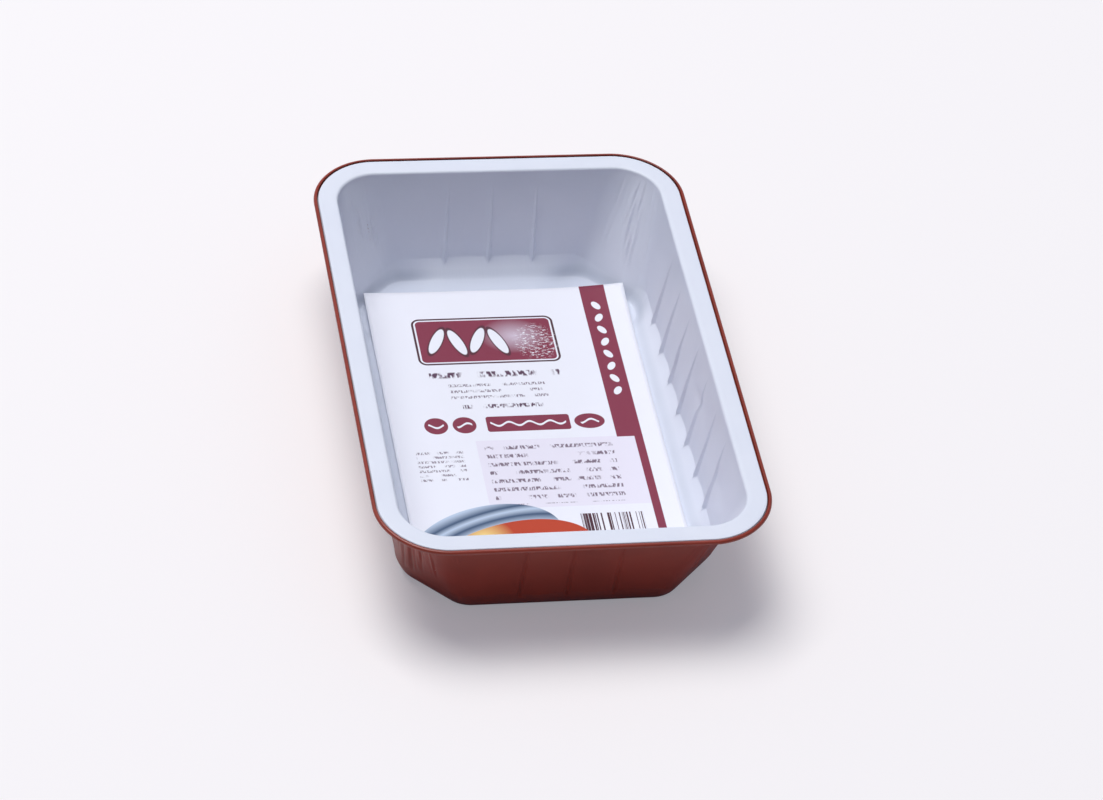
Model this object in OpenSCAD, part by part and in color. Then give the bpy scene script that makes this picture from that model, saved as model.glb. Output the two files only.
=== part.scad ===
// Pressed foil food container with a rolled rim, and the label card that lies in it
// Millimetres, +Z up, origin on the resting face under the middle of the base

/* [Rim] */
// Overall width, over the rolled edge
rim_w = 153.8; // [140:0.2:190]
// Overall length, over the rolled edge
rim_l = 233.4; // [215:0.2:280]
// Corner radius of the rolled edge in plan
rim_r = 27.6; // [25:0.1:34]
// Width of the flat flange between the wall and the roll
flange_w = 8; // [5:0.1:11]
// Outer diameter of the rolled edge
roll_d = 1.9; // [1.6:0.1:3]
// Angle at which the raw edge of the roll ends, 90 being its highest point
roll_end = 118; // [90:1:128]
// Radius of the bend from the wall into the flange
bend_r = 1.2; // [0.6:0.1:2]

/* [Body] */
// Height from the resting face to the top of the flange
depth = 49; // [40:0.5:60]
// How far each long wall leans in between the flange and the fold line
long_lean = 4.1; // [2:0.1:7]
// How far each short wall leans in between the flange and the fold line
short_lean = 7.4; // [4:0.1:10]
// Height of the fold line, where the walls meet the cove round the base
fold_z = 9.2; // [7:0.1:14]
// How far each corner of the fold line reaches along its two sides
fold_cut = 26.6; // [20:0.2:30]
// Plan radius of the bends at both ends of a corner of the fold line
fold_bend = 11.4; // [6:0.2:18]
// How much lower the fold line runs round the corners
fold_dip = 2.4; // [0:0.1:4]
// How far the cove reaches in from the fold line to the flat base
cove_w = 4.2; // [3:0.1:8]
// How hollow the cove is, from a straight slope at 0 to a full hollow at 1
cove_round = 0.95; // [0:0.05:1]
// How far each corner of the flat base reaches along its two sides
base_cut = 23.6; // [18:0.2:26]
// Plan radius of the bends at both ends of a corner of the flat base
base_bend = 11; // [5:0.2:16]
// Thickness of the foil
foil_t = 0.2; // [0.12:0.01:0.4]

/* [Ribs] */
// Stiffening ribs pressed into each long wall
long_ribs = 7; // [1:1:7]
// Stiffening ribs pressed into each short wall
short_ribs = 3; // [1:1:3]
// Distance from rib to rib
rib_pitch = 18.5; // [12:0.1:19]
// Width of a rib at its foot
rib_w = 3.2; // [2:0.1:5]
// How far a rib's crest stands into the container at its foot
rib_d = 1.7; // [0.5:0.1:2.5]
// Distance from the flange down to the rib's upper end
rib_top = 6; // [4:0.5:25]

/* [Label card] */
// Gap between the card and the edge of the flat base, at each long side
card_side_gap = 4.1; // [3.9:0.1:12]
// Gap between the card and the edge of the flat base, at each short side
card_end_gap = 10.9; // [10.7:0.1:20]
// Thickness of the card
card_t = 0.3; // [0.2:0.05:0.6]
// Clearance between the card's corners and the foil they rest on
card_clear = 0.05; // [0.02:0.01:0.2]
// How far the card lies off the middle, to the right
card_shift = 0.6; // [0:0.1:2]
// How far the card is turned
card_turn = 0.1; // [0:0.1:0.5]
// How much higher than its middle the card's corners are
card_lift = 2; // [1:0.1:4]
// Length of the curled part, from each corner along both edges
card_curl = 34; // [25:1:40]

/* [Hidden] */

// Steps of each of the two bends at a corner in plan
bend_steps = 5;
// How much a round corner's bends fall short of each other
round_gap = 0.3;
// Width of a rib at its upper end, and depth of its foot a quarter of the way down the cove
rib_tip_w = 1.2;
rib_foot_d = 0.4 * rib_d;
// Steps of the cove, from the fold line at 0 to the flat base at 1, and the middle point of its curve
cove_steps = [0, 0.25, 0.5, 0.75, 1];
cove_mid = [0.5 + 0.14 * cove_round, 0.5 + 0.46 * cove_round];
// Angles of the steps where the wall turns into the flange, from the wall at 0 to the flange at 90
turn_steps = [0, 45, 90];

// Half sizes and corner radius of the flange's inner edge, where the walls start
edge_in = flange_w + roll_d;
half_x = rim_w / 2 - edge_in;
half_y = rim_l / 2 - edge_in;
wall_r = rim_r - edge_in;
wall_h = depth - fold_z;

// The roll: its middle, counted outward from the flange's inner edge and up from its top
roll_u = flange_w + roll_d / 2;
roll_v = foil_t - roll_d / 2;
// Angles of its steps, from its inner side at 180 down, outward and over to the raw edge
roll_steps = [175, 200, 240, 280, 320, 360, 405, 450, 360 + roll_end];
// How far in from the end of its top face the flange's underside turns down into the roll
neck_in = 0.75 * foil_t;

// Half sizes of the flat base, and of the card that lies over it
base_x = half_x - long_lean - cove_w;
base_y = half_y - short_lean - cove_w;
card_x = base_x - card_side_gap;
card_y = base_y - card_end_gap;

function mix(a, b, f) = a + (b - a) * f;

// A level is [half x, half y, reach of its corners, bend radius, z, drop at the corners, rib depth,
// rib width]; a corner is two bends of 45 degrees with a straight piece between them
function wall_level(f, depth_f, w, out) = [
    half_x - long_lean * f + out, half_y - short_lean * f + out,
    mix(wall_r, fold_cut, f) + out, mix(wall_r - round_gap, fold_bend, f) + out,
    depth - bend_r - (wall_h - bend_r) * f, fold_dip * f, rib_d * depth_f, w];

// Section of the cove, a curve with three control points from the fold line down to the flat base
function cove_curve(mid, t) = 2 * mid * t * (1 - t) + t * t;
function cove_level(t, out) = let (
    run = cove_curve(cove_mid[0], t), fall = cove_curve(cove_mid[1], t),
    push = out * cos(90 * t), foot = t == 0 ? rib_d : t < 0.5 ? rib_foot_d : 0) [
    half_x - long_lean - cove_w * run + push, half_y - short_lean - cove_w * run + push,
    mix(fold_cut, base_cut, run) + push, mix(fold_bend, base_bend, run) + push,
    mix(fold_z, foil_t, fall) - out * sin(90 * t), fold_dip * (1 - fall), foot, rib_w];

// Level of the rim, u outward from the flange's inner edge and v up from the flange's top
function rim_level(u, v) =
    [half_x + u, half_y + u, wall_r + u, wall_r + u - round_gap, depth + v, 0, 0, rib_tip_w];
function bend_level(a, r) = rim_level(bend_r - r * cos(a), r * sin(a) - bend_r);
function roll_level(a, r) = rim_level(roll_u + r * cos(a), roll_v + r * sin(a));

// The section of the foil as one closed line: up its inner face, round the roll and back down
rib_f = (rib_top - bend_r) / (wall_h - bend_r);
inner_face = concat(
    [for (i = [len(cove_steps) - 1 : -1 : 0]) cove_level(cove_steps[i], 0)],
    [wall_level(rib_f, 0, rib_tip_w, 0)],
    [for (a = turn_steps) bend_level(a, bend_r)],
    [rim_level(flange_w, 0)],
    [for (a = roll_steps) roll_level(a, roll_d / 2 - foil_t)]);
outer_face = concat(
    [for (i = [len(roll_steps) - 1 : -1 : 0]) roll_level(roll_steps[i], roll_d / 2)],
    [rim_level(flange_w - neck_in, -foil_t)],
    [for (i = [len(turn_steps) - 1 : -1 : 0]) bend_level(turn_steps[i], bend_r - foil_t)],
    [wall_level(rib_f, 0, rib_tip_w, foil_t)],
    [for (t = cove_steps) cove_level(t, foil_t)]);
section = concat(inner_face, outer_face);

// One side of a ring with the corner after it, with the side facing +X
function side_points(l, h, k, ribs) = concat(
    [for (i = [0 : ribs - 1], j = [-1 : 1])
        [h - (j == 0 ? l[6] : 0), (i - (ribs - 1) / 2) * rib_pitch + j * l[7] / 2, l[4]]],
    [for (bend = [0, 1], i = [0 : bend_steps]) let (a = 45 * (bend + i / bend_steps))
        [h - l[3 - bend] + l[3] * cos(a), k - l[2 + bend] + l[3] * sin(a), l[4] - l[5] * sin(2 * a)]]);

// A point turned by quarter turns about the middle
function turned(p, q) =
    q == 0 ? p : q == 1 ? [-p.y, p.x, p.z] : q == 2 ? [-p.x, -p.y, p.z] : [p.y, -p.x, p.z];

// The whole outline of the container at one level: right, far, left and near side in turn
function ring(l) = [for (q = [0 : 3])
    for (p = q % 2 == 0 ? side_points(l, l[0], l[1], long_ribs) : side_points(l, l[1], l[0], short_ribs))
        turned(p, q)];

// Triangles between rows of n points; closed joins each row's end to its start
function band_faces(rows, n, closed) = [
    for (i = [0 : rows - 2], j = [0 : n - (closed ? 1 : 2)])
        let (a = i * n + j, b = i * n + (j + 1) % n, c = b + n, d = a + n)
        each [[a, b, c], [a, c, d]]];

module container() {
    rings = [for (l = section) ring(l)];
    n = len(rings[0]);
    last = (len(rings) - 1) * n;
    top_mid = len(rings) * n;
    under_mid = top_mid + 1;
    color("#9b4a3c")
        polyhedron(
            points = concat([for (r = rings) each r], [[0, 0, foil_t], [0, 0, 0]]),
            faces = concat(
                [for (j = [0 : n - 1]) [top_mid, (j + 1) % n, j]],
                band_faces(len(rings), n, true),
                [for (j = [0 : n - 1]) [under_mid, last + j, last + (j + 1) % n]]),
            convexity = 8);
}

// Height of the foil under the card's foremost corner, found where x + y is the same on the
// straight pieces of the container's corners
corner_levels = concat([wall_level(0, 0, rib_tip_w, 0)], [for (t = cove_steps) cove_level(t, 0)]);
corner_reach = (card_x + card_y) * cos(card_turn) + (card_y - card_x) * sin(card_turn) + card_shift;
corner_floor = lookup(corner_reach, [for (l = corner_levels)
    [l[0] + l[1] - l[2] + l[3] * tan(22.5), l[4] - l[5]]]);
// Height of the card's middle, from which its corners rise to clear the foil
card_z = max(foil_t, corner_floor - card_lift) + card_clear;

// Lift of the card's corners: it rises with the square of the way into the curled corner
function lift(x, y) = let (s = (card_x - abs(x)) + (card_y - abs(y)))
    card_lift * pow(max(0, 1 - s / card_curl), 2);

// Places of the card's grid lines: close together where the corners curl
curl_steps = 5;
function grid_lines(h) = concat(
    [for (i = [0 : curl_steps]) -h + card_curl * i / curl_steps],
    [for (i = [curl_steps : -1 : 0]) h - card_curl * i / curl_steps]);

module label_card() {
    xs = grid_lines(card_x);
    ys = grid_lines(card_y);
    nx = len(xs);
    ny = len(ys);
    sheet = nx * ny;
    border = concat(
        [for (i = [0 : nx - 1]) i],
        [for (j = [1 : ny - 1]) j * nx + nx - 1],
        [for (i = [nx - 2 : -1 : 0]) (ny - 1) * nx + i],
        [for (j = [ny - 2 : -1 : 1]) j * nx]);
    m = len(border);
    color("white")
        translate([card_shift, 0, 0])
            rotate([0, 0, card_turn])
                polyhedron(
                    points = [for (side = [0, card_t], y = ys, x = xs) [x, y, card_z + side + lift(x, y)]],
                    faces = concat(
                        band_faces(ny, nx, false),
                        [for (f = band_faces(ny, nx, false)) [f[2] + sheet, f[1] + sheet, f[0] + sheet]],
                        [for (i = [0 : m - 1]) let (a = border[i], b = border[(i + 1) % m])
                            each [[a, a + sheet, b + sheet], [a, b + sheet, b]]]),
                    convexity = 4);
}

container();
label_card();
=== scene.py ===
# A pressed foil food container with a printed card in it, on a pale floor under soft studio light
import math

import bpy
import numpy as np
from mathutils import Matrix, Vector


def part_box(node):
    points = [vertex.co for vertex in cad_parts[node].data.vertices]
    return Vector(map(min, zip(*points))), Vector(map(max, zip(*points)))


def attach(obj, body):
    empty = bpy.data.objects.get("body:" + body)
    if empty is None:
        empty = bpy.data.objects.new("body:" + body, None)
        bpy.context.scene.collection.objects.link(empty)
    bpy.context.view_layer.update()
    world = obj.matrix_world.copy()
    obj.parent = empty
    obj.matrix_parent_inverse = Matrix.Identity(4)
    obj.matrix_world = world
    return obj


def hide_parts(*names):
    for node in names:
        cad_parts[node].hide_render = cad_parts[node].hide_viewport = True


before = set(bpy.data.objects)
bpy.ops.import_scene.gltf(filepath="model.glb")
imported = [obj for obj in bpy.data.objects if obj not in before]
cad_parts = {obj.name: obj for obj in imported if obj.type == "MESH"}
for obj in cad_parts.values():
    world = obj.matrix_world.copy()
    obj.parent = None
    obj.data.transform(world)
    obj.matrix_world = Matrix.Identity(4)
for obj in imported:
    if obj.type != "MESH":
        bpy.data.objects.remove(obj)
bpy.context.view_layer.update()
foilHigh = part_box("container")[1]
print("frame loaded")

mm = 0.001


class Wire:
    # one output socket, with arithmetic that adds Math nodes
    def __init__(self, shader, socket):
        self.shader, self.socket = shader, socket

    def math(self, operation, *values):
        return self.shader.node("ShaderNodeMath", {"operation": operation}, dict(enumerate(values)))

    def __add__(self, other):
        return self.math("ADD", self, other)

    def __radd__(self, other):
        return self.math("ADD", other, self)

    def __sub__(self, other):
        return self.math("SUBTRACT", self, other)

    def __rsub__(self, other):
        return self.math("SUBTRACT", other, self)

    def __mul__(self, other):
        return self.math("MULTIPLY", self, other)

    def __rmul__(self, other):
        return self.math("MULTIPLY", other, self)

    def __truediv__(self, other):
        return self.math("DIVIDE", self, other)

    def __rtruediv__(self, other):
        return self.math("DIVIDE", other, self)

    def __pow__(self, other):
        return self.math("POWER", self, other)

    def __rpow__(self, other):
        return self.math("POWER", other, self)

    def __mod__(self, other):
        return self.math("FLOORED_MODULO", self, other)

    def __rmod__(self, other):
        return self.math("FLOORED_MODULO", other, self)

    def __abs__(self):
        return self.math("ABSOLUTE", self)

    def floor(self):
        return self.math("FLOOR", self)

    def sine(self):
        return self.math("SINE", self)

    def root(self):
        return self.math("SQRT", self)

    def least(self, other):
        return self.math("MINIMUM", self, other)

    def most(self, other):
        return self.math("MAXIMUM", self, other)

    def clamped(self):
        return self.least(1).most(0)

    def within(self, soft=0.15):
        # 1 where a signed distance is negative and 0 where it is positive, over a soft edge
        return (0.5 - self / soft).clamped()


class Shader:
    # the nodes of a material or the world, with a method that adds any node: type, settings, then inputs
    def __init__(self, owner):
        owner.use_nodes = True
        self.owner, self.tree = owner, owner.node_tree
        self.tree.nodes.clear()

    def node(self, kind, settings=None, inputs=None, output=0):
        made = self.tree.nodes.new(kind)
        for key, value in (settings or {}).items():
            if key == "stops":
                while len(made.color_ramp.elements) < len(value):
                    made.color_ramp.elements.new(0.5)
                for element, (place, colour) in zip(made.color_ramp.elements, value):
                    element.position, element.color = place, (*colour, 1)
            else:
                setattr(made, key, value)
        for key, value in (inputs or {}).items():
            if isinstance(value, Wire):
                self.tree.links.new(value.socket, made.inputs[key])
            else:
                made.inputs[key].default_value = value
        return Wire(self, made.outputs[output]) if made.outputs else made

    def blend(self, factor, first, second):
        # first where the factor is 0 and second where it is 1
        inputs = {0: factor}
        for key, value in ((6, first), (7, second)):
            inputs[key] = value if isinstance(value, Wire) else (*value, 1)
        return self.node("ShaderNodeMix", {"data_type": "RGBA"}, inputs, 2)

    def place(self, name=None):
        # object coordinates, or the named UV map, as one wire and as three
        if name:
            point = self.node("ShaderNodeUVMap", {"uv_map": name})
        else:
            point = self.node("ShaderNodeTexCoord", output=3)
        split = self.node("ShaderNodeSeparateXYZ", inputs={0: point})
        outputs = split.socket.node.outputs
        return point, [Wire(self, outputs[i]) for i in range(3)]

    def join(self, x=0.0, y=0.0, z=0.0):
        return self.node("ShaderNodeCombineXYZ", inputs={0: x, 1: y, 2: z})

    def noise(self, vector, scale, detail=2.0, roughness=0.5):
        return self.node("ShaderNodeTexNoise", inputs={
            "Vector": vector, "Scale": scale, "Detail": detail, "Roughness": roughness})

    def box(self, u, v, low, high, radius=0.0):
        # signed distance to a box with rounded corners
        across = abs(u - (low[0] + high[0]) / 2) - ((high[0] - low[0]) / 2 - radius)
        down = abs(v - (low[1] + high[1]) / 2) - ((high[1] - low[1]) / 2 - radius)
        outside = (across.most(0) ** 2 + down.most(0) ** 2).root()
        return outside + across.most(down).least(0) - radius

    def oval(self, u, v, middle, halves, lean=0.0):
        # signed distance, near enough, to an oval leaning by an angle in degrees
        c, s = math.cos(math.radians(lean)), math.sin(math.radians(lean))
        across, down = u - middle[0], v - middle[1]
        along, over = across * c + down * s, down * c - across * s
        size = ((along / halves[0]) ** 2 + (over / halves[1]) ** 2).root()
        return (size - 1) * min(halves)

    def cameraRay(self):
        # 1 where the camera sees the surface itself, and 0 where the surface only throws light back
        return Wire(self, self.node("ShaderNodeLightPath").socket.node.outputs["Is Camera Ray"])

    def finish(self, **inputs):
        surface = self.node("ShaderNodeBsdfPrincipled", inputs={
            key.replace("_", " "): value for key, value in inputs.items()})
        self.node("ShaderNodeOutputMaterial", inputs={"Surface": surface})
        return self.owner


def gridFaces(rows, columns, closed):
    # corner numbers of the quads between rows of points; closed joins each row's end to its start
    i = np.arange(rows - 1)[:, None] * columns
    j = np.arange(columns if closed else columns - 1)[None, :]
    k = (j + 1) % columns
    return np.stack([i + j, i + k, i + columns + k, i + columns + j], axis=-1).reshape(-1, 4)


def meshObject(name, points, faces, slots, materials, uv=None):
    # faces is a list of arrays, one for each size of polygon, and slots holds their material numbers
    mesh = bpy.data.meshes.new(name)
    counts = np.concatenate([np.full(len(f), f.shape[1]) for f in faces])
    corners = np.concatenate([f.ravel() for f in faces]).astype(np.int32)
    starts = np.concatenate([[0], np.cumsum(counts)[:-1]]).astype(np.int32)
    mesh.vertices.add(len(points))
    mesh.vertices.foreach_set("co", np.ascontiguousarray(points, dtype=np.float32).ravel())
    mesh.loops.add(len(corners))
    mesh.loops.foreach_set("vertex_index", corners)
    mesh.polygons.add(len(counts))
    mesh.polygons.foreach_set("loop_start", starts)
    mesh.polygons.foreach_set("material_index", slots.astype(np.int32))
    mesh.update(calc_edges=True)
    if uv is not None:
        layer = mesh.uv_layers.new(name="sheet")
        layer.data.foreach_set("uv", uv[corners].astype(np.float32).ravel())
    for material in materials:
        mesh.materials.append(material)
    mesh.polygons.foreach_set("use_smooth", np.ones(len(counts), dtype=bool))
    mesh.validate()
    made = bpy.data.objects.new(name, mesh)
    bpy.context.scene.collection.objects.link(made)
    return made


view = {
    "aim": (0.0007, -0.0342, 0.049),   # where the middle of the picture meets the flange
    "distance": 1.6274,
    "turn": 14.56,                     # degrees to the right of the far side
    "down": 41.49,
    "roll": 7.77,
    "lens": 137.08, "sensor": 36,
    "nearClip": 0.05, "farClip": 30,
}


def makeCamera():
    # the camera looks along its own -Z: tip it up from straight down, turn it, then back off
    data = bpy.data.cameras.new("camera")
    data.lens, data.sensor_width = view["lens"], view["sensor"]
    data.clip_start, data.clip_end = view["nearClip"], view["farClip"]
    camera = bpy.data.objects.new("camera", data)
    bpy.context.scene.collection.objects.link(camera)
    turned = (Matrix.Rotation(math.radians(-view["turn"]), 4, "Z")
              @ Matrix.Rotation(math.radians(90 - view["down"]), 4, "X")
              @ Matrix.Rotation(math.radians(view["roll"]), 4, "Z"))
    back = turned.to_3x3() @ Vector((0, 0, view["distance"]))
    camera.matrix_world = Matrix.Translation(Vector(view["aim"]) + back) @ turned
    bpy.context.scene.camera = camera


makeCamera()
print("camera placed")


lacquer = {
    "white": (0.80, 0.83, 0.92),
    "whiteShade": (0.75, 0.785, 0.885), "shadeShare": 0.5,
    # painted shade: a greyer white for the base and the cove's foot, standing in for the walls' shade
    "paintedBaseShade": (0.66, 0.70, 0.80),
    "baseShadeStart": 5.5 * mm, "baseShadeFull": 2.3 * mm,        # heights between which white turns to paintedBaseShade
    "whiteGloss": {"Roughness": 0.42, "Specular_IOR_Level": 0.35, "Coat_Weight": 0.1,
                   "Coat_Roughness": 0.3},
    "terracotta": (0.30, 0.034, 0.015),
    "terracottaDeep": (0.24, 0.025, 0.010),
    "terracottaGloss": {"Roughness": 0.38, "Specular_IOR_Level": 0.5, "Coat_Weight": 0.2,
                        "Coat_Roughness": 0.22},
    "patchStart": 0.35, "patchFull": 0.7,               # the low noise's values that bring the shade in
    "lineScale": (900, 40), "lineHeight": 0.35,
    "lowScale": 45.0, "lowHeight": 2.0,
    "relief": 0.25 * mm, "whiteRelief": 0.35, "terracottaRelief": 0.3,
}


def drawMarks(shader, strength):
    # fine lines of the drawing, which run down the walls, and a low unevenness of the foil
    _, (along, up, _) = shader.place("sheet")
    point, _ = shader.place()
    acrossScale, upScale = lacquer["lineScale"]
    lines = shader.noise(shader.join(along * acrossScale, up * upScale), 1.0, 3.0, 0.6)
    low = shader.noise(point, lacquer["lowScale"], 2.0, 0.5)
    height = lines * lacquer["lineHeight"] + low * lacquer["lowHeight"]
    return shader.node("ShaderNodeBump", inputs={
        "Strength": strength, "Distance": lacquer["relief"], "Height": height}), low


def patches(shader, low):
    # 0 to 1, where the low noise is high
    stops = [(lacquer["patchStart"], (0, 0, 0)), (lacquer["patchFull"], (1, 1, 1))]
    return shader.node("ShaderNodeValToRGB", {"stops": stops}, {0: low})


def makeWhite():
    # painted shade: the base and the foot of the cove, which lie in the walls' shade, are drawn a little
    # greyer
    shader = Shader(bpy.data.materials.new("whiteLacquer"))
    normal, low = drawMarks(shader, lacquer["whiteRelief"])
    shade = patches(shader, low) * lacquer["shadeShare"]
    colour = shader.blend(shade, lacquer["white"], lacquer["whiteShade"])
    _, (_, _, z) = shader.place()
    # painted shade, from 0 above the upper height to 1 below the lower one
    depth = (lacquer["baseShadeStart"] - z) / (lacquer["baseShadeStart"] - lacquer["baseShadeFull"])
    colour = shader.blend(depth.clamped(), colour, lacquer["paintedBaseShade"])
    return shader.finish(Base_Color=colour, Normal=normal, **lacquer["whiteGloss"])


def makeTerracotta():
    shader = Shader(bpy.data.materials.new("terracottaLacquer"))
    normal, low = drawMarks(shader, lacquer["terracottaRelief"])
    colour = shader.blend(patches(shader, low), lacquer["terracotta"], lacquer["terracottaDeep"])
    return shader.finish(Base_Color=colour, Normal=normal, **lacquer["terracottaGloss"])


foil = {
    "thickness": 0.2 * mm,
    # rim, from the wall outward: a bend, the flange, a small neck and the rolled edge
    "bend": 1.2 * mm, "flangeWidth": 8 * mm, "neck": 0.35 * mm, "neckEnd": 14,
    "rollSize": 1.9 * mm, "rollStart": 192, "rollEnd": 360 + 118,
    "rimRadius": 27.6 * mm, "roundGap": 0.3 * mm,
    # wall, fold, cove and base; a cut is how far a corner reaches back, and a bend is its radius
    "longLean": 4.1 * mm, "shortLean": 7.4 * mm,
    "foldHeight": 9.2 * mm, "foldCut": 26.6 * mm, "foldBend": 11.4 * mm, "foldDip": 2.4 * mm,
    "coveWidth": 4.2 * mm, "coveMiddle": (0.633, 0.937), "baseCut": 23.6 * mm, "baseBend": 11 * mm,
    "coveSpread": 2.7 * mm, "coveRise": 2.2 * mm, "baseDip": 6,      # the white face only, on the straights
    # ribs and the panels between them
    "longRibs": 7, "shortRibs": 3, "ribPitch": 18.5 * mm, "ribDepth": 1.5 * mm,
    "ribFoot": 2.2 * mm, "ribTip": 0.8 * mm, "ribTop": 6 * mm, "ribCrest": 0.08, "ribOutside": 0.45,
    "ribGrowth": 0.7, "ribEnd": 0.14,
    "panelBulge": 0.7 * mm, "panelHeight": 15 * mm,
    # a row's share of creases and waver: at the fold, its gain up the wall, and its fade to the bend
    "pleatFold": 0.4, "pleatGain": 4, "pleatFade": 5,
    # slow waver, and shallow dents: side, then in mm place along it, height, half width, half height
    # and depth
    "waver": 0.12 * mm,
    "dents": [(0, -17, 30, 7, 3.2, 0.8), (0, -62, 26, 8, 5, 0.7),
              (0, 22, 27, 9, 6, -0.4), (2, 30, 25, 9, 5, 0.6)],
    # chance creases in each corner: ranges of the lower end, and in mm of the length and width; the
    # angle's middle and spread, and its limits; the least depth and the mean of what is added, in mm;
    # and the slant at 0 degrees, the degrees that take 1 off it, and its spread
    "creases": 34, "seed": 7, "creaseLow": (12 * mm, 32 * mm), "creaseLength": (7, 20),
    "creaseWidth": (0.45, 0.75), "creaseAngle": (45, 20), "creaseAngles": (8, 82),
    "creaseDepth": (0.08, 0.1), "creaseSteepness": 0.65, "creaseSlant": (0.4, 150, 0.04),
    "creaseFade": 5 * mm, "creaseCentre": 34 * mm, "creaseGain": 2.3,
    # the deepest creases: corner as signs of X and Y, angle from the X axis about the corner's
    # inner centre, then in mm lower end, upper end, width and depth
    "deepSlant": (0.45, 140),
    "deepCreases": [
        (1, 1, 29.5, 10, 38, 0.8, 0.46), (1, 1, 33.5, 18, 41, 0.6, -0.24),
        (1, 1, 25.5, 12, 26, 0.6, 0.24), (-1, 1, 67, 13, 33, 0.65, 0.3),
        (-1, 1, 71, 15, 31, 0.6, -0.24), (-1, 1, 62, 17, 35, 0.55, 0.14),
        (-1, -1, 15, 8, 40, 0.8, 0.46), (-1, -1, 20, 8, 37, 0.7, -0.34),
        (-1, -1, 25.5, 9, 40, 0.8, 0.42), (-1, -1, 31, 11, 38, 0.65, 0.28),
        (-1, -1, 37, 12, 36, 0.6, -0.24), (-1, -1, 58, 14, 38, 0.6, -0.18)],
    # how finely the sheet is divided; the rows are shares of the base, of the cove and of the wall
    "baseRows": (0.35, 0.7, 0.9, 0.97),
    "coveRows": (1, 0.89, 0.78, 0.67, 0.56, 0.44, 0.33, 0.22, 0.11, 0.03, 0),
    "wallStart": 0.988, "wallRows": 28,
    "rimRows": {"bend": 6, "flange": 3, "neck": 4, "roll": 13},
    "bendColumns": 30, "cutColumns": 30, "ribColumns": 11, "ribReach": 0.75,
    "panelColumns": 4, "endColumns": 10,
}


def columnTable():
    # every column of the sheet as (side, place along it, way past the ribs, corner angle, way over
    # the cut); the place is absolute among the ribs; past them the way runs from 0 to 1 at the
    # corner, which is a bend of 45 degrees, a straight cut and another bend
    table = []
    half = foil["ribFoot"] * foil["ribReach"]
    for side in range(4):
        count = foil["longRibs"] if side % 2 == 0 else foil["shortRibs"]
        centres = (np.arange(count) - (count - 1) / 2) * foil["ribPitch"]
        places = [c + np.linspace(-half, half, foil["ribColumns"]) for c in centres]
        gaps = [np.linspace(a + half, b - half, foil["panelColumns"] + 2)[1:-1]
                for a, b in zip(centres[:-1], centres[1:])]
        middle = np.sort(np.concatenate(places + gaps))
        ends = np.linspace(0, 1, foil["endColumns"] + 1)[1:]
        zone = middle[-1]
        bend = np.linspace(0, 45, foil["bendColumns"] + 1)
        cuts = np.linspace(0, 1, foil["cutColumns"] + 1)[1:-1]
        table += [(side, -zone, -r, 0.0, 0.0) for r in ends[::-1][1:]]
        table += [(side, m, 0.0, 0.0, 0.0) for m in middle]
        table += [(side, zone, r, 0.0, 0.0) for r in ends[:-1]]
        table += [(side, zone, 1.0, a, 0.0) for a in bend]
        table += [(side, zone, 1.0, 45.0, c) for c in cuts]
        table += [(side, zone, 1.0, 45 + a, 1.0) for a in bend]
    return np.array(table).T


def rimProfile():
    # the white face from the wall over the flange into the roll, as (out, up) from the flange's
    # inner edge: a bend, a flat, a small neck and a circle run round to the raw edge
    rows, width, neckSize = foil["rimRows"], foil["flangeWidth"], foil["neck"]
    bendAngle = np.radians(np.linspace(0, 90, rows["bend"]))
    bend = np.stack([foil["bend"] * (1 - np.cos(bendAngle)), foil["bend"] * (np.sin(bendAngle) - 1)], 1)
    out = np.linspace(foil["bend"], width - neckSize, rows["flange"] + 2)[1:-1]
    flat = np.stack([out, 0 * out], 1)
    neckAngle = np.radians(np.linspace(90, foil["neckEnd"], rows["neck"]))
    neck = np.stack([width - neckSize + neckSize * np.cos(neckAngle),
                     neckSize * (np.sin(neckAngle) - 1)], 1)
    inner = foil["rollSize"] / 2 - foil["thickness"]
    rollAngle = np.radians(np.linspace(foil["rollStart"], foil["rollEnd"], rows["roll"]))
    roll = np.stack([width + foil["rollSize"] / 2 + inner * np.cos(rollAngle),
                     foil["thickness"] - foil["rollSize"] / 2 + inner * np.sin(rollAngle)], 1)
    return np.concatenate([bend, flat, neck, roll]), len(bend) + len(flat) + len(neck)


def coveCurve(t):
    # how far in and how far down the cove has come at t, each 2mt(1 - t) + t squared, with its own m
    return [2 * middle * t * (1 - t) + t * t for middle in foil["coveMiddle"]]


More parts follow.
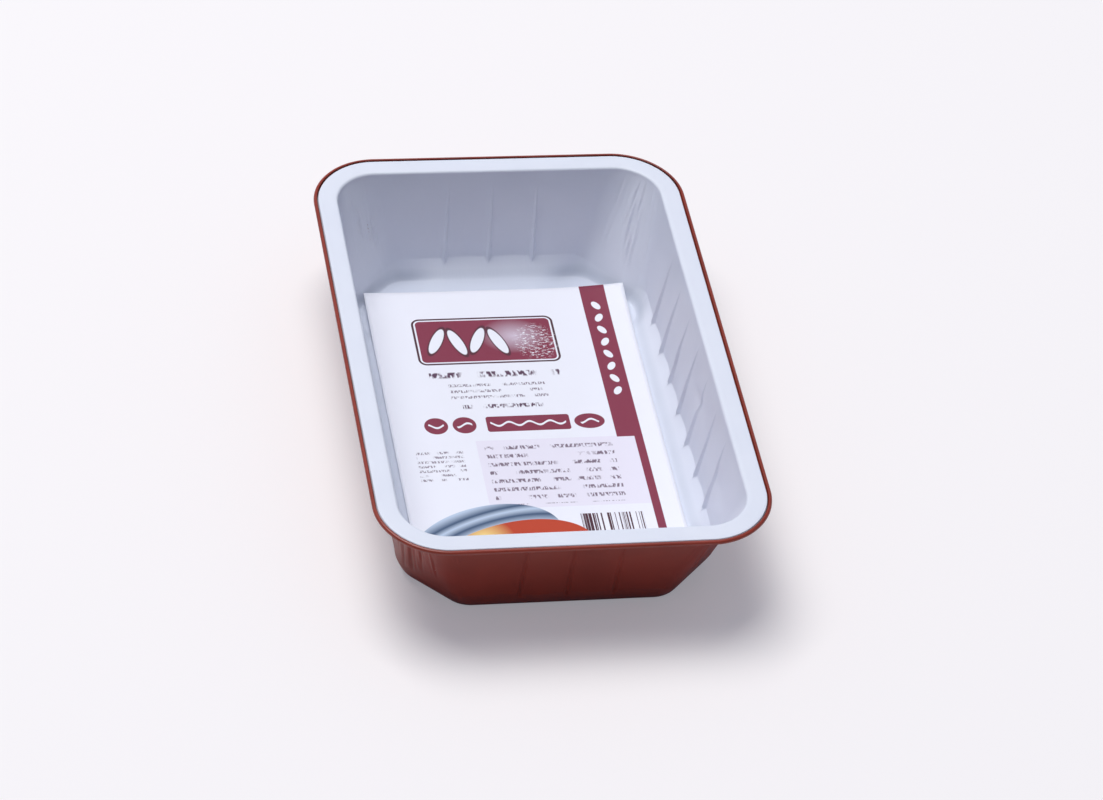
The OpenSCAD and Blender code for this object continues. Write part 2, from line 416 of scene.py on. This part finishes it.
def levelTable():
    # every row of the white face as (half X, half Y, reach of a corner, radius of its bends, height,
    # corner dip, rib, bulge, pleat); the last three are the row's shares of the reliefs
    edge = foil["flangeWidth"] + foil["rollSize"]
    halfX, halfY, top = foilHigh.x - edge, foilHigh.y - edge, foilHigh.z - foil["thickness"]
    wallRadius = foil["rimRadius"] - edge
    foldX, foldY = halfX - foil["longLean"], halfY - foil["shortLean"]
    baseX, baseY = foldX - foil["coveWidth"], foldY - foil["coveWidth"]
    rows = []
    for f in foil["baseRows"]:                                     # flat base, as shrunken outlines
        rows.append((baseX * f, baseY * f, foil["baseCut"] * f, foil["baseBend"] * f,
                     foil["thickness"], 0, 0, 0, 0))
    for t in foil["coveRows"]:                                     # cove, from the base up to the fold
        run, fall = coveCurve(t)
        rib = max(0.0, 1 - t / foil["ribEnd"])
        rows.append((foldX - foil["coveWidth"] * run, foldY - foil["coveWidth"] * run,
                     foil["foldCut"] + (foil["baseCut"] - foil["foldCut"]) * run,
                     foil["foldBend"] + (foil["baseBend"] - foil["foldBend"]) * run,
                     foil["foldHeight"] - (foil["foldHeight"] - foil["thickness"]) * fall,
                     foil["foldDip"] * (1 - fall), rib, (1 - t) ** 2, 1 - t))
    wallTop = top - foil["bend"]
    ribStart = (foil["ribTop"] - foil["bend"]) / (wallTop - foil["foldHeight"])
    for f in (foil["wallStart"], *np.linspace(1, 0, foil["wallRows"])[1:-1]):      # wall, up to the bend
        height = wallTop - (wallTop - foil["foldHeight"]) * f
        rib = max(0.0, (f - ribStart) / (1 - ribStart)) ** foil["ribGrowth"]
        bulge = max(0.0, 1 - (height - foil["foldHeight"]) / foil["panelHeight"]) ** 2
        pleat = min(1.0, foil["pleatGain"] * (1 - f) + foil["pleatFold"]) * min(1, foil["pleatFade"] * f)
        rows.append((halfX - foil["longLean"] * f, halfY - foil["shortLean"] * f,
                     wallRadius + (foil["foldCut"] - wallRadius) * f,
                     wallRadius - foil["roundGap"] + (foil["foldBend"] - wallRadius + foil["roundGap"]) * f,
                     height, foil["foldDip"] * f, rib, bulge, pleat))
    profile, flangeRows = rimProfile()
    for out, up in profile:
        rows.append((halfX + out, halfY + out, wallRadius + out, wallRadius + out - foil["roundGap"],
                     top + up, 0, 0, 0, 0))
    return np.array(rows).T, len(rows) - (len(profile) - flangeRows)


def creaseTable():
    # creases in the corners, the deep ones and chance ones between them, as
    # (sign of X, sign of Y, angle, low, high, slant, width, depth); the slant keeps them upright
    chance = np.random.default_rng(foil["seed"])
    slant, turn = foil["deepSlant"]
    rows = [(sx, sy, angle, low * mm, high * mm, slant - angle / turn, width * mm, depth * mm)
            for sx, sy, angle, low, high, width, depth in foil["deepCreases"]]
    slant, turn, spread = foil["creaseSlant"]
    least, more = foil["creaseDepth"]
    for sx, sy in ((1, 1), (-1, 1), (-1, -1), (1, -1)):
        for _ in range(foil["creases"]):
            low = chance.uniform(*foil["creaseLow"])
            angle = np.clip(chance.normal(*foil["creaseAngle"]), *foil["creaseAngles"])
            wide = chance.uniform(*foil["creaseWidth"])
            deep = min(least + chance.exponential(more), foil["creaseSteepness"] * wide ** 2)
            high = low + chance.uniform(*foil["creaseLength"]) * mm
            lean = slant - angle / turn + chance.normal(0, spread)
            rows.append((sx, sy, angle, low, high, lean, wide * mm, deep * mm * chance.choice([-1, 1])))
    return rows


def toPlan(x, y, side):
    # a side's outward and along places, turned by quarters into X and Y
    quarter = side * np.pi / 2
    return x * np.cos(quarter) - y * np.sin(quarter), x * np.sin(quarter) + y * np.cos(quarter)


def wayRound(planX, planY):
    # the length round a row up to each of its points, and the whole length
    steps = np.hypot(np.diff(planX, append=planX[0]), np.diff(planY, append=planY[0]))
    return np.concatenate([[0], np.cumsum(steps)[:-1]]), steps.sum()


def ribOffset(place, even):
    # how far each column lies from the nearest rib of its side
    last = (np.where(even, foil["longRibs"], foil["shortRibs"]) - 1) / 2
    nearest = (np.round(place / foil["ribPitch"] - last) + last) * foil["ribPitch"]
    return place - np.clip(nearest, -last * foil["ribPitch"], last * foil["ribPitch"])


def ribRelief(offset, way, rib, outside):
    # a ridge of triangular section with a rounded crest, narrow at its upper end, pressed inward
    width = foil["ribTip"] + (foil["ribFoot"] - foil["ribTip"]) * rib
    across = np.where(way == 0, np.abs(offset), 1.0) / (width / 2)
    ridge = np.clip(1 + foil["ribCrest"] - np.sqrt(across ** 2 + foil["ribCrest"] ** 2), 0, None)
    return -foil["ribDepth"] * rib * ridge * (foil["ribOutside"] if outside else 1.0)


def panelRelief(offset, way, bulge):
    # the panels between ribs bulge outward near the fold, by a squared sine from rib to rib
    swell = np.where(way == 0, np.sin(np.pi * offset / foil["ribPitch"]) ** 2, 0)
    return foil["panelBulge"] * bulge * swell


def creaseRelief(planX, planY, z, centreX, centreY):
    # each crease follows an angle about a point inside its corner, and its depth goes in and out
    # across it like q times exp(-q squared), which the gain brings to a height of 1
    gain, fadeLength = foil["creaseGain"], foil["creaseFade"]
    push = 0 * z
    for sx, sy, angle, low, high, slant, wide, depth in creaseTable():
        inX, inY = planX * sx - centreX, planY * sy - centreY
        turned = np.arctan2(inY, inX) - math.radians(angle)
        q = (turned * np.hypot(inX, inY) - slant * (z - (low + high) / 2)) / wide
        fade = np.clip((z - low) / fadeLength, 0, 1) * np.clip((high - z) / fadeLength, 0, 1)
        push += depth * gain * q * np.exp(-q ** 2) * fade
    return push


def dentRelief(straight, z, side, corner):
    # each dent is deepest in its middle and fades like exp(-distance squared)
    push = 0 * z
    for at, along, level, wide, tall, depth in foil["dents"]:
        q = ((straight - along * mm) / (wide * mm)) ** 2 + ((z - level * mm) / (tall * mm)) ** 2
        push += depth * mm * np.exp(-q) * ((side == at) & ~corner)
    return push


def waverRelief(share, z, pleat):
    # slow waver of the thin sheet, as three waves round the wall that change with the height
    turn = 2 * np.pi * share
    waver = (np.sin(7 * turn + 1.3) * np.cos(z / (13 * mm) + 0.7)
             + np.sin(13 * turn + 4.1) * np.sin(z / (9 * mm) + 2.2)
             + 0.7 * np.sin(23 * turn + 2.6 + z / (20 * mm)))
    return foil["waver"] * waver * np.clip(pleat, 0, 1)


def containerSurface(outside=False, creased=True):
    # the white face, or with outside the one that the outer face is offset from: each row is a
    # rectangle of its own half sizes with cut and bent corners, which dip with the sine of twice the
    # corner angle; ribs, panels, creases, dents and waver push it along the outward direction in plan
    side, place, way, angle, cut = columnTable()
    levels, whiteRows = levelTable()
    halfX, halfY, reach, bend, height, dip, rib, bulge, pleat = [row[:, None] for row in levels]
    even = side % 2 == 0
    h = np.where(even, halfX, halfY)
    k = np.where(even, halfY, halfX)
    phi = np.radians(angle)
    zone = np.abs(place)
    straight = np.where(way == 0, place, np.sign(way) * (zone + np.abs(way) * (k - reach - zone)))
    corner = angle > 0
    x = np.where(corner, h - bend - (reach - bend) * cut + bend * np.cos(phi), h)
    y = np.where(corner, k - reach + (reach - bend) * cut + bend * np.sin(phi), straight)
    z = height - dip * np.sin(2 * phi)
    planX, planY = toPlan(x, y, side)
    around, whole = wayRound(planX[len(x) // 2], planY[len(x) // 2])

    offset = ribOffset(place, even)
    push = ribRelief(offset, way, rib, outside) + panelRelief(offset, way, bulge)
    if creased:
        centreX, centreY = halfX.max() - foil["creaseCentre"], halfY.max() - foil["creaseCentre"]
        push = push + creaseRelief(planX, planY, z, centreX, centreY) * (pleat > 0)
    push = push + dentRelief(straight, z, side, corner) + waverRelief(around / whole, z, pleat)
    x = x + push * np.where(corner, np.cos(phi), 1)
    y = y + push * np.where(corner, np.sin(phi), 0)

    # along the straights the white cove is flatter and runs further in, and eases off to the corners
    first, count = len(foil["baseRows"]), len(foil["coveRows"])
    if not outside:
        ease = np.where(corner, 0, (1 - np.abs(way)) ** 2 * (1 + 2 * np.abs(way)))
        run, fall = coveCurve(np.array(foil["coveRows"])[:, None])
        x[first:first + count] -= foil["coveSpread"] * run * ease
        z[first:first + count] += foil["coveRise"] * fall * ease

    # the base shrinks its edge toward the middle, and dips to its height there
    for row, f in enumerate(foil["baseRows"]):
        x[row], y[row] = x[first] * f, y[first] * f
        z[row] = foil["thickness"] + (z[first] - foil["thickness"]) * f ** foil["baseDip"]
    return np.stack([*toPlan(x, y, side), z], axis=-1), around, whiteRows


def outerFace():
    # the other face of the sheet: each point moved by the foil's thickness along the outward normal
    # of the sheet without its creases, so that the faces stay apart in the deepest of them
    smooth = containerSurface(outside=True, creased=False)[0]
    ahead = np.roll(smooth, -1, axis=1) - np.roll(smooth, 1, axis=1)
    up = np.gradient(smooth, axis=0)
    away = np.cross(ahead, up)
    away /= np.linalg.norm(away, axis=-1, keepdims=True)
    return containerSurface(outside=True)[0] + away * foil["thickness"]


def makeContainer():
    # the white face's rings of points, then the outer face's backward, and a fan closes each base
    points, around, whiteRows = containerSurface()
    rows, columns = points.shape[:2]
    rings = 2 * rows
    allPoints = np.concatenate([points, outerFace()[::-1]]).reshape(-1, 3)
    allPoints = np.concatenate([allPoints, [[0, 0, foil["thickness"]], [0, 0, 0]]])
    quads = gridFaces(rings, columns, True)[:, ::-1]
    middleIn, middleOut = rings * columns, rings * columns + 1
    j = np.arange(columns)
    k = (j + 1) % columns
    last = (rings - 1) * columns
    fanIn = np.stack([np.full(columns, middleIn), j, k], 1)
    fanOut = np.stack([np.full(columns, middleOut), last + k, last + j], 1)
    band = np.repeat(np.arange(rings - 1), columns)
    slots = np.concatenate([(band >= whiteRows).astype(int), np.zeros(columns), np.ones(columns)])
    climb = np.concatenate([[0], np.cumsum(np.linalg.norm(np.diff(points[:, 0], axis=0), axis=-1))])
    upSheet = np.concatenate([climb, climb[::-1]])
    uv = np.stack([np.tile(around, rings), np.repeat(upSheet, columns)], 1)
    uv = np.concatenate([uv, [[0, 0], [0, 0]]])
    piece = meshObject("foilContainer", allPoints, [quads, np.concatenate([fanIn, fanOut])], slots,
                       [makeWhite(), makeTerracotta()], uv)
    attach(piece, "root")
    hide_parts("container")
    print("container made:", len(piece.data.polygons), "faces")


makeContainer()


card = {
    "halfWidth": 54.6 * mm, "halfLength": 84.3 * mm, "thickness": 0.3 * mm, "lie": 3.35 * mm,
    "shift": 0.6 * mm, "turn": 0.1,
    "farLeft": (0.6 * mm, 30 * mm), "farRight": (2.0 * mm, 36 * mm),      # lift and length of each curl
    "nearLeft": (0.6 * mm, 30 * mm), "nearRight": (1.8 * mm, 34 * mm),
    "across": 56, "along": 88,
    "white": (0.84, 0.85, 0.91), "blush": (0.80, 0.74, 0.84),
    "gloss": {"Roughness": 0.5, "Specular_IOR_Level": 0.3, "Coat_Weight": 0.05, "Coat_Roughness": 0.35},
    "tintScale": 60.0, "tintShare": 0.15,
    "grainScale": 900.0, "grainShare": 0.5, "boardRoughness": 0.8,
}


label = {
    # millimetres from the card's far left corner: across, then toward the near edge
    "bands": [((90.5, -1), (101, 92)), ((97.6, 91), (101, 158)), ((84, 152), (101, 157))],
    "seeds": [(95.8, 12 + 7.5 * i) for i in range(8)], "seedHalves": (1.5, 2.6), "seedLean": 28,
    "plate": ((17, 17), (76, 45.5)), "plateRadius": 3.6, "plateLine": 0.9, "plateField": 1.6,
    "leaves": [(26, 31, 24), (34.5, 32, -18), (43, 31, 22), (51.5, 32, -20)], "leafHalves": (2.3, 8.0),
    "leafRim": 0.5, "glow": (58, 29), "glowSize": 14, "glowSquash": 1.3, "glowEdge": 1.8, "glowShare": 0.7,
    "flecks": (67, 33), "flecksHalves": (8.5, 10.2), "flecksSoft": 3.0, "flecksScale": (0.55, 1.5),
    "flecksGap": 0.55, "flecksContrast": 25,
    "discs": [(18.5, 82), (30, 82)], "discSize": 4.8, "bar": ((39, 77.5), (73, 86.5)), "barRadius": 1.2,
    "badge": (81, 82), "badgeHalves": (6.2, 4.4), "badgeRim": 1.6,
    "wave": (0.75, 1.1, 0.55),                          # radians a millimetre, height, half width
    # lines of marks: corners of the block, from line to line, height of a line, seed, strength
    "lines": [((20, 50.2), (74, 54.4), 5.0, 3.4, 0.0, 1), ((27, 57.5), (67, 68), 3.6, 1.6, 2.0, 0.8),
              ((31, 70), (64, 73), 4.0, 2.3, 5.0, 1), ((36, 95), (88, 129), 4.8, 2.1, 9.0, 0.85),
              ((8, 97), (27, 114), 2.6, 1.4, 12.0, 0.75)],
    "groupWidth": 4.5, "groupGap": 0.40, "groupContrast": 14,
    "strokeWidth": 0.42, "strokeGap": 0.44, "strokeContrast": 9,
    "panel": ((33, 91.5), (97.6, 131)), "panelShare": 0.55,
    "stripes": ((68, 135.5), (93, 147)), "stripeScale": 1.9, "stripeSeed": 3.3, "stripeContrast": 30,
    "sweepOuter": ((29, 150), (32, 20), -20), "sweepInner": ((37, 160), (36, 20), -20),
    "flameSpot": (28, 148), "flameSize": 11,
    "plum": (0.235, 0.036, 0.068), "outline": (0.075, 0.024, 0.036), "text": (0.105, 0.050, 0.090),
    "lilac": (0.76, 0.70, 0.82), "steel": (0.045, 0.085, 0.165), "steelPale": (0.50, 0.60, 0.74),
    "ember": (0.50, 0.055, 0.020), "amber": (0.90, 0.68, 0.25),
}


far = 99                               # a signed distance, in mm, that lies past every shape of the print


def printBand(shader, colour, u, v):
    # pale panel behind the notes, then the plum band with its tail and foot, and a column of seeds
    panel = shader.box(u, v, *label["panel"]).within() * label["panelShare"]
    colour = shader.blend(panel, colour, label["lilac"])
    band = far
    for low, high in label["bands"]:
        band = shader.box(u, v, low, high).least(band)
    colour = shader.blend(band.within(), colour, label["plum"])
    seeds = far
    for i, middle in enumerate(label["seeds"]):
        lean = label["seedLean"] * (1 if i % 2 else -1)
        seeds = shader.oval(u, v, middle, label["seedHalves"], lean).least(seeds)
    return shader.blend(seeds.within(), colour, card["white"])


def printPlate(shader, colour, u, v):
    # plate: dark outline, white line, plum field with a pale glow and flecks, four leaves
    plate = shader.box(u, v, *label["plate"], label["plateRadius"])
    colour = shader.blend(plate.within(), colour, label["outline"])
    colour = shader.blend((plate + label["plateLine"]).within(), colour, card["white"])
    colour = shader.blend((plate + label["plateField"]).within(), colour, label["plum"])
    away = ((u - label["glow"][0]) ** 2 + ((v - label["glow"][1]) * label["glowSquash"]) ** 2).root()
    glow = (1 - away / label["glowSize"]).most(0) * (plate + label["glowEdge"]).within()
    colour = shader.blend(glow * label["glowShare"], colour, label["lilac"])
    acrossScale, downScale = label["flecksScale"]
    flecks = shader.noise(shader.join(u * acrossScale, v * downScale), 1.0, 3.0, 0.65)
    spread = shader.oval(u, v, label["flecks"], label["flecksHalves"]).within(label["flecksSoft"])
    flecks = ((flecks - label["flecksGap"]) * label["flecksContrast"]).clamped()
    colour = shader.blend(spread * flecks, colour, card["white"])
    leaves = far
    for across, down, lean in label["leaves"]:
        leaves = shader.oval(u, v, (across, down), label["leafHalves"], lean).least(leaves)
    colour = shader.blend((leaves - label["leafRim"]).within() * 0.85, colour, label["outline"])
    return shader.blend(leaves.within(), colour, card["white"])


def printBadges(shader, colour, u, v):
    # discs, a bar and a badge in plum, each with a white sine wave in it
    badges = shader.box(u, v, *label["bar"], label["barRadius"])
    badges = badges.least(shader.oval(u, v, label["badge"], label["badgeHalves"]))
    for middle in label["discs"]:
        badges = shader.oval(u, v, middle, (label["discSize"], label["discSize"])).least(badges)
    colour = shader.blend(badges.within(), colour, label["plum"])
    turns, height, half = label["wave"]
    wave = abs(v - label["badge"][1] - (u * turns).sine() * height) - half
    return shader.blend((badges + label["badgeRim"]).within() * wave.within(), colour, card["white"])


def marks(shader, u, v, low, high, pitch, tall, seed):
    # rows of short upright marks in groups, like the grey of a text with no letters in it: noise
    # drawn out along a row parts the groups, and finer noise the strokes, each above its gap value
    row = ((v - low[1]) / pitch).floor()
    level = abs((v - low[1]) % pitch - tall / 2) - tall / 2
    wide = shader.join(u / (tall * label["groupWidth"]), row * 7.3, seed)
    fine = shader.join(u / (tall * label["strokeWidth"]), row * 3.1 + v * 0.9 / tall, seed + 4)
    groups = ((shader.noise(wide, 1.0, 0.0) - label["groupGap"]) * label["groupContrast"]).clamped()
    strokes = ((shader.noise(fine, 1.0, 1.0) - label["strokeGap"]) * label["strokeContrast"]).clamped()
    return shader.box(u, v, low, high).within() * level.within(tall * 0.3) * groups * strokes


def printLines(shader, colour, u, v):
    # lines like the grey of a text, large under the plate and small in the notes, and uneven stripes
    lines = 0
    for low, high, pitch, tall, seed, strength in label["lines"]:
        lines = lines + marks(shader, u, v, low, high, pitch, tall, seed) * strength
    colour = shader.blend(lines.least(1), colour, label["text"])
    uneven = shader.noise(shader.join(u * label["stripeScale"], label["stripeSeed"]), 1.0, 1.0)
    stripes = ((uneven - 0.5) * label["stripeContrast"]).clamped()
    return shader.blend(shader.box(u, v, *label["stripes"]).within() * stripes, colour, label["outline"])


def printSweep(shader, colour, u, v):
    # a crescent of brushed steel over a field of ember colour with an amber spot
    outer, inner = (shader.oval(u, v, *label[name]) for name in ("sweepOuter", "sweepInner"))
    spot = ((u - label["flameSpot"][0]) ** 2 + (v - label["flameSpot"][1]) ** 2).root() / label["flameSize"]
    ember = shader.blend((1.15 - spot).clamped(), label["ember"], label["amber"])
    colour = shader.blend(inner.within(), colour, ember)
    stops = [(0.0, label["steelPale"]), (0.3, label["steel"]), (0.52, label["steelPale"]),
             (0.7, label["steel"]), (1.0, label["steelPale"])]
    shine = shader.node("ShaderNodeValToRGB", {"stops": stops}, {0: inner / 13 + 0.1})
    return shader.blend(outer.within() * (0.5 + inner / 0.15).clamped(), colour, shine)


def makePrint():
    # the fields of the print, each laid over the ones before it
    shader = Shader(bpy.data.materials.new("printedCard"))
    point, (u, v, _) = shader.place("sheet")
    u, v = u * 1000, v * 1000
    colour = shader.blend(shader.noise(point, card["tintScale"]) * card["tintShare"],
                          card["white"], label["lilac"])
    for layer in (printBand, printPlate, printBadges, printLines, printSweep):
        colour = layer(shader, colour, u, v)
    return shader.finish(Base_Color=colour, **card["gloss"])


def makeBoard():
    shader = Shader(bpy.data.materials.new("cardBoard"))
    point, _ = shader.place()
    grain = shader.noise(point, card["grainScale"], 3.0)
    colour = shader.blend(grain * card["grainShare"], card["white"], card["blush"])
    return shader.finish(Base_Color=colour, Roughness=card["boardRoughness"])


def cardLift(x, y):
    # each corner rises with the square of the way from the curl's start to the corner
    lift = 0 * x
    for name, sx, sy in (("farLeft", -1, 1), ("farRight", 1, 1),
                         ("nearLeft", -1, -1), ("nearRight", 1, -1)):
        height, length = card[name]
        inward = (card["halfWidth"] - sx * x) + (card["halfLength"] - sy * y)
        lift = lift + height * np.clip(1 - inward / length, 0, None) ** 2
    return lift


def makeCard():
    # a flat grid with its corners lifted, a second one over it, and a strip of quads round the edge
    x, y = np.meshgrid(np.linspace(-1, 1, card["across"]) * card["halfWidth"],
                       np.linspace(-1, 1, card["along"]) * card["halfLength"])
    under = np.stack([x, y, card["lie"] + cardLift(x, y)], axis=-1).reshape(-1, 3)
    flat = np.concatenate([under, under + np.array([0, 0, card["thickness"]])])
    n, m = card["across"], card["along"]
    sheet = n * m
    low = gridFaces(m, n, False)[:, ::-1]
    high = gridFaces(m, n, False) + sheet
    edge = np.concatenate([np.arange(n), np.arange(1, m) * n + n - 1,
                           (m - 1) * n + np.arange(n - 2, -1, -1), np.arange(m - 2, 0, -1) * n])
    after = np.roll(edge, -1)
    sides = np.stack([edge, after, after + sheet, edge + sheet], 1)
    slots = np.concatenate([np.ones(len(low)), np.zeros(len(high)), np.ones(len(sides))])
    angle = math.radians(card["turn"])
    points = np.stack([flat[:, 0] * math.cos(angle) - flat[:, 1] * math.sin(angle) + card["shift"],
                       flat[:, 0] * math.sin(angle) + flat[:, 1] * math.cos(angle), flat[:, 2]], 1)
    uv = np.stack([flat[:, 0] + card["halfWidth"], card["halfLength"] - flat[:, 1]], 1)
    piece = meshObject("labelCard", points, [np.concatenate([low, high, sides])], slots,
                       [makePrint(), makeBoard()], uv)
    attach(piece, "root")
    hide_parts("label_card")
    print("card made")


makeCard()


studio = {
    "floorSeen": (0.71, 0.685, 0.67), "floorGlow": (0.255, 0.25, 0.27), "floorBounce": (0.88, 0.85, 0.86),
    "floorRoughness": 0.9, "floorHalf": 6.0,
    "skyTop": (0.31, 0.34, 0.425), "skyEdge": (0.035, 0.045, 0.07), "backdrop": (0.93, 0.92, 0.945),
    "skyUp": 0.75, "skyBack": 0.4, "skyLevel": 0.1,
    "softboxSize": 2.5, "softboxPower": 164.0, "softboxPlace": (-0.85, 0.9, 4.2),
    "softboxColour": (1, 0.99, 0.98),
}


def makeFloor():
    # a part of the brightness that the camera sees is the floor's own, which nothing else sees
    shader = Shader(bpy.data.materials.new("paleFloor"))
    camera = shader.cameraRay()
    colour = shader.blend(camera, studio["floorBounce"], studio["floorSeen"])
    glow = shader.blend(camera, (0, 0, 0), studio["floorGlow"])
    material = shader.finish(Base_Color=colour, Roughness=studio["floorRoughness"], Specular_IOR_Level=0.0,
                             Emission_Color=glow, Emission_Strength=1.0)
    half = studio["floorHalf"]
    points = np.array([[-half, -half, 0], [half, -half, 0], [half, half, 0], [-half, half, 0]])
    floor = meshObject("floor", points, [np.array([[0, 1, 2, 3]])], np.zeros(1), [material])


def makeSoftbox():
    data = bpy.data.lights.new("overheadSoftbox", "AREA")
    data.shape, data.size = "SQUARE", studio["softboxSize"]
    data.energy, data.color = studio["softboxPower"], studio["softboxColour"]
    light = bpy.data.objects.new("overheadSoftbox", data)
    bpy.context.scene.collection.objects.link(light)
    light.location = studio["softboxPlace"]
    light.rotation_mode = "QUATERNION"
    light.rotation_quaternion = (-Vector(studio["softboxPlace"])).to_track_quat("-Z", "Y")


def makeWorld():
    # a sky that is brightest overhead and behind, and the backdrop's colour where the camera sees it
    world = bpy.data.worlds.new("studio")
    bpy.context.scene.world = world
    shader = Shader(world)
    split = shader.node("ShaderNodeSeparateXYZ", inputs={0: shader.node("ShaderNodeTexCoord")})
    y, z = (Wire(shader, split.socket.node.outputs[i]) for i in (1, 2))
    level = z * studio["skyUp"] + y * studio["skyBack"] + studio["skyLevel"]
    sky = shader.blend(level, studio["skyEdge"], studio["skyTop"])
    seen = shader.blend(shader.cameraRay(), sky, studio["backdrop"])
    background = shader.node("ShaderNodeBackground", inputs={"Color": seen})
    shader.node("ShaderNodeOutputWorld", inputs={"Surface": background})


makeFloor()
makeSoftbox()
makeWorld()
bpy.context.scene.view_settings.view_transform = "Standard"
print("floor and light made")
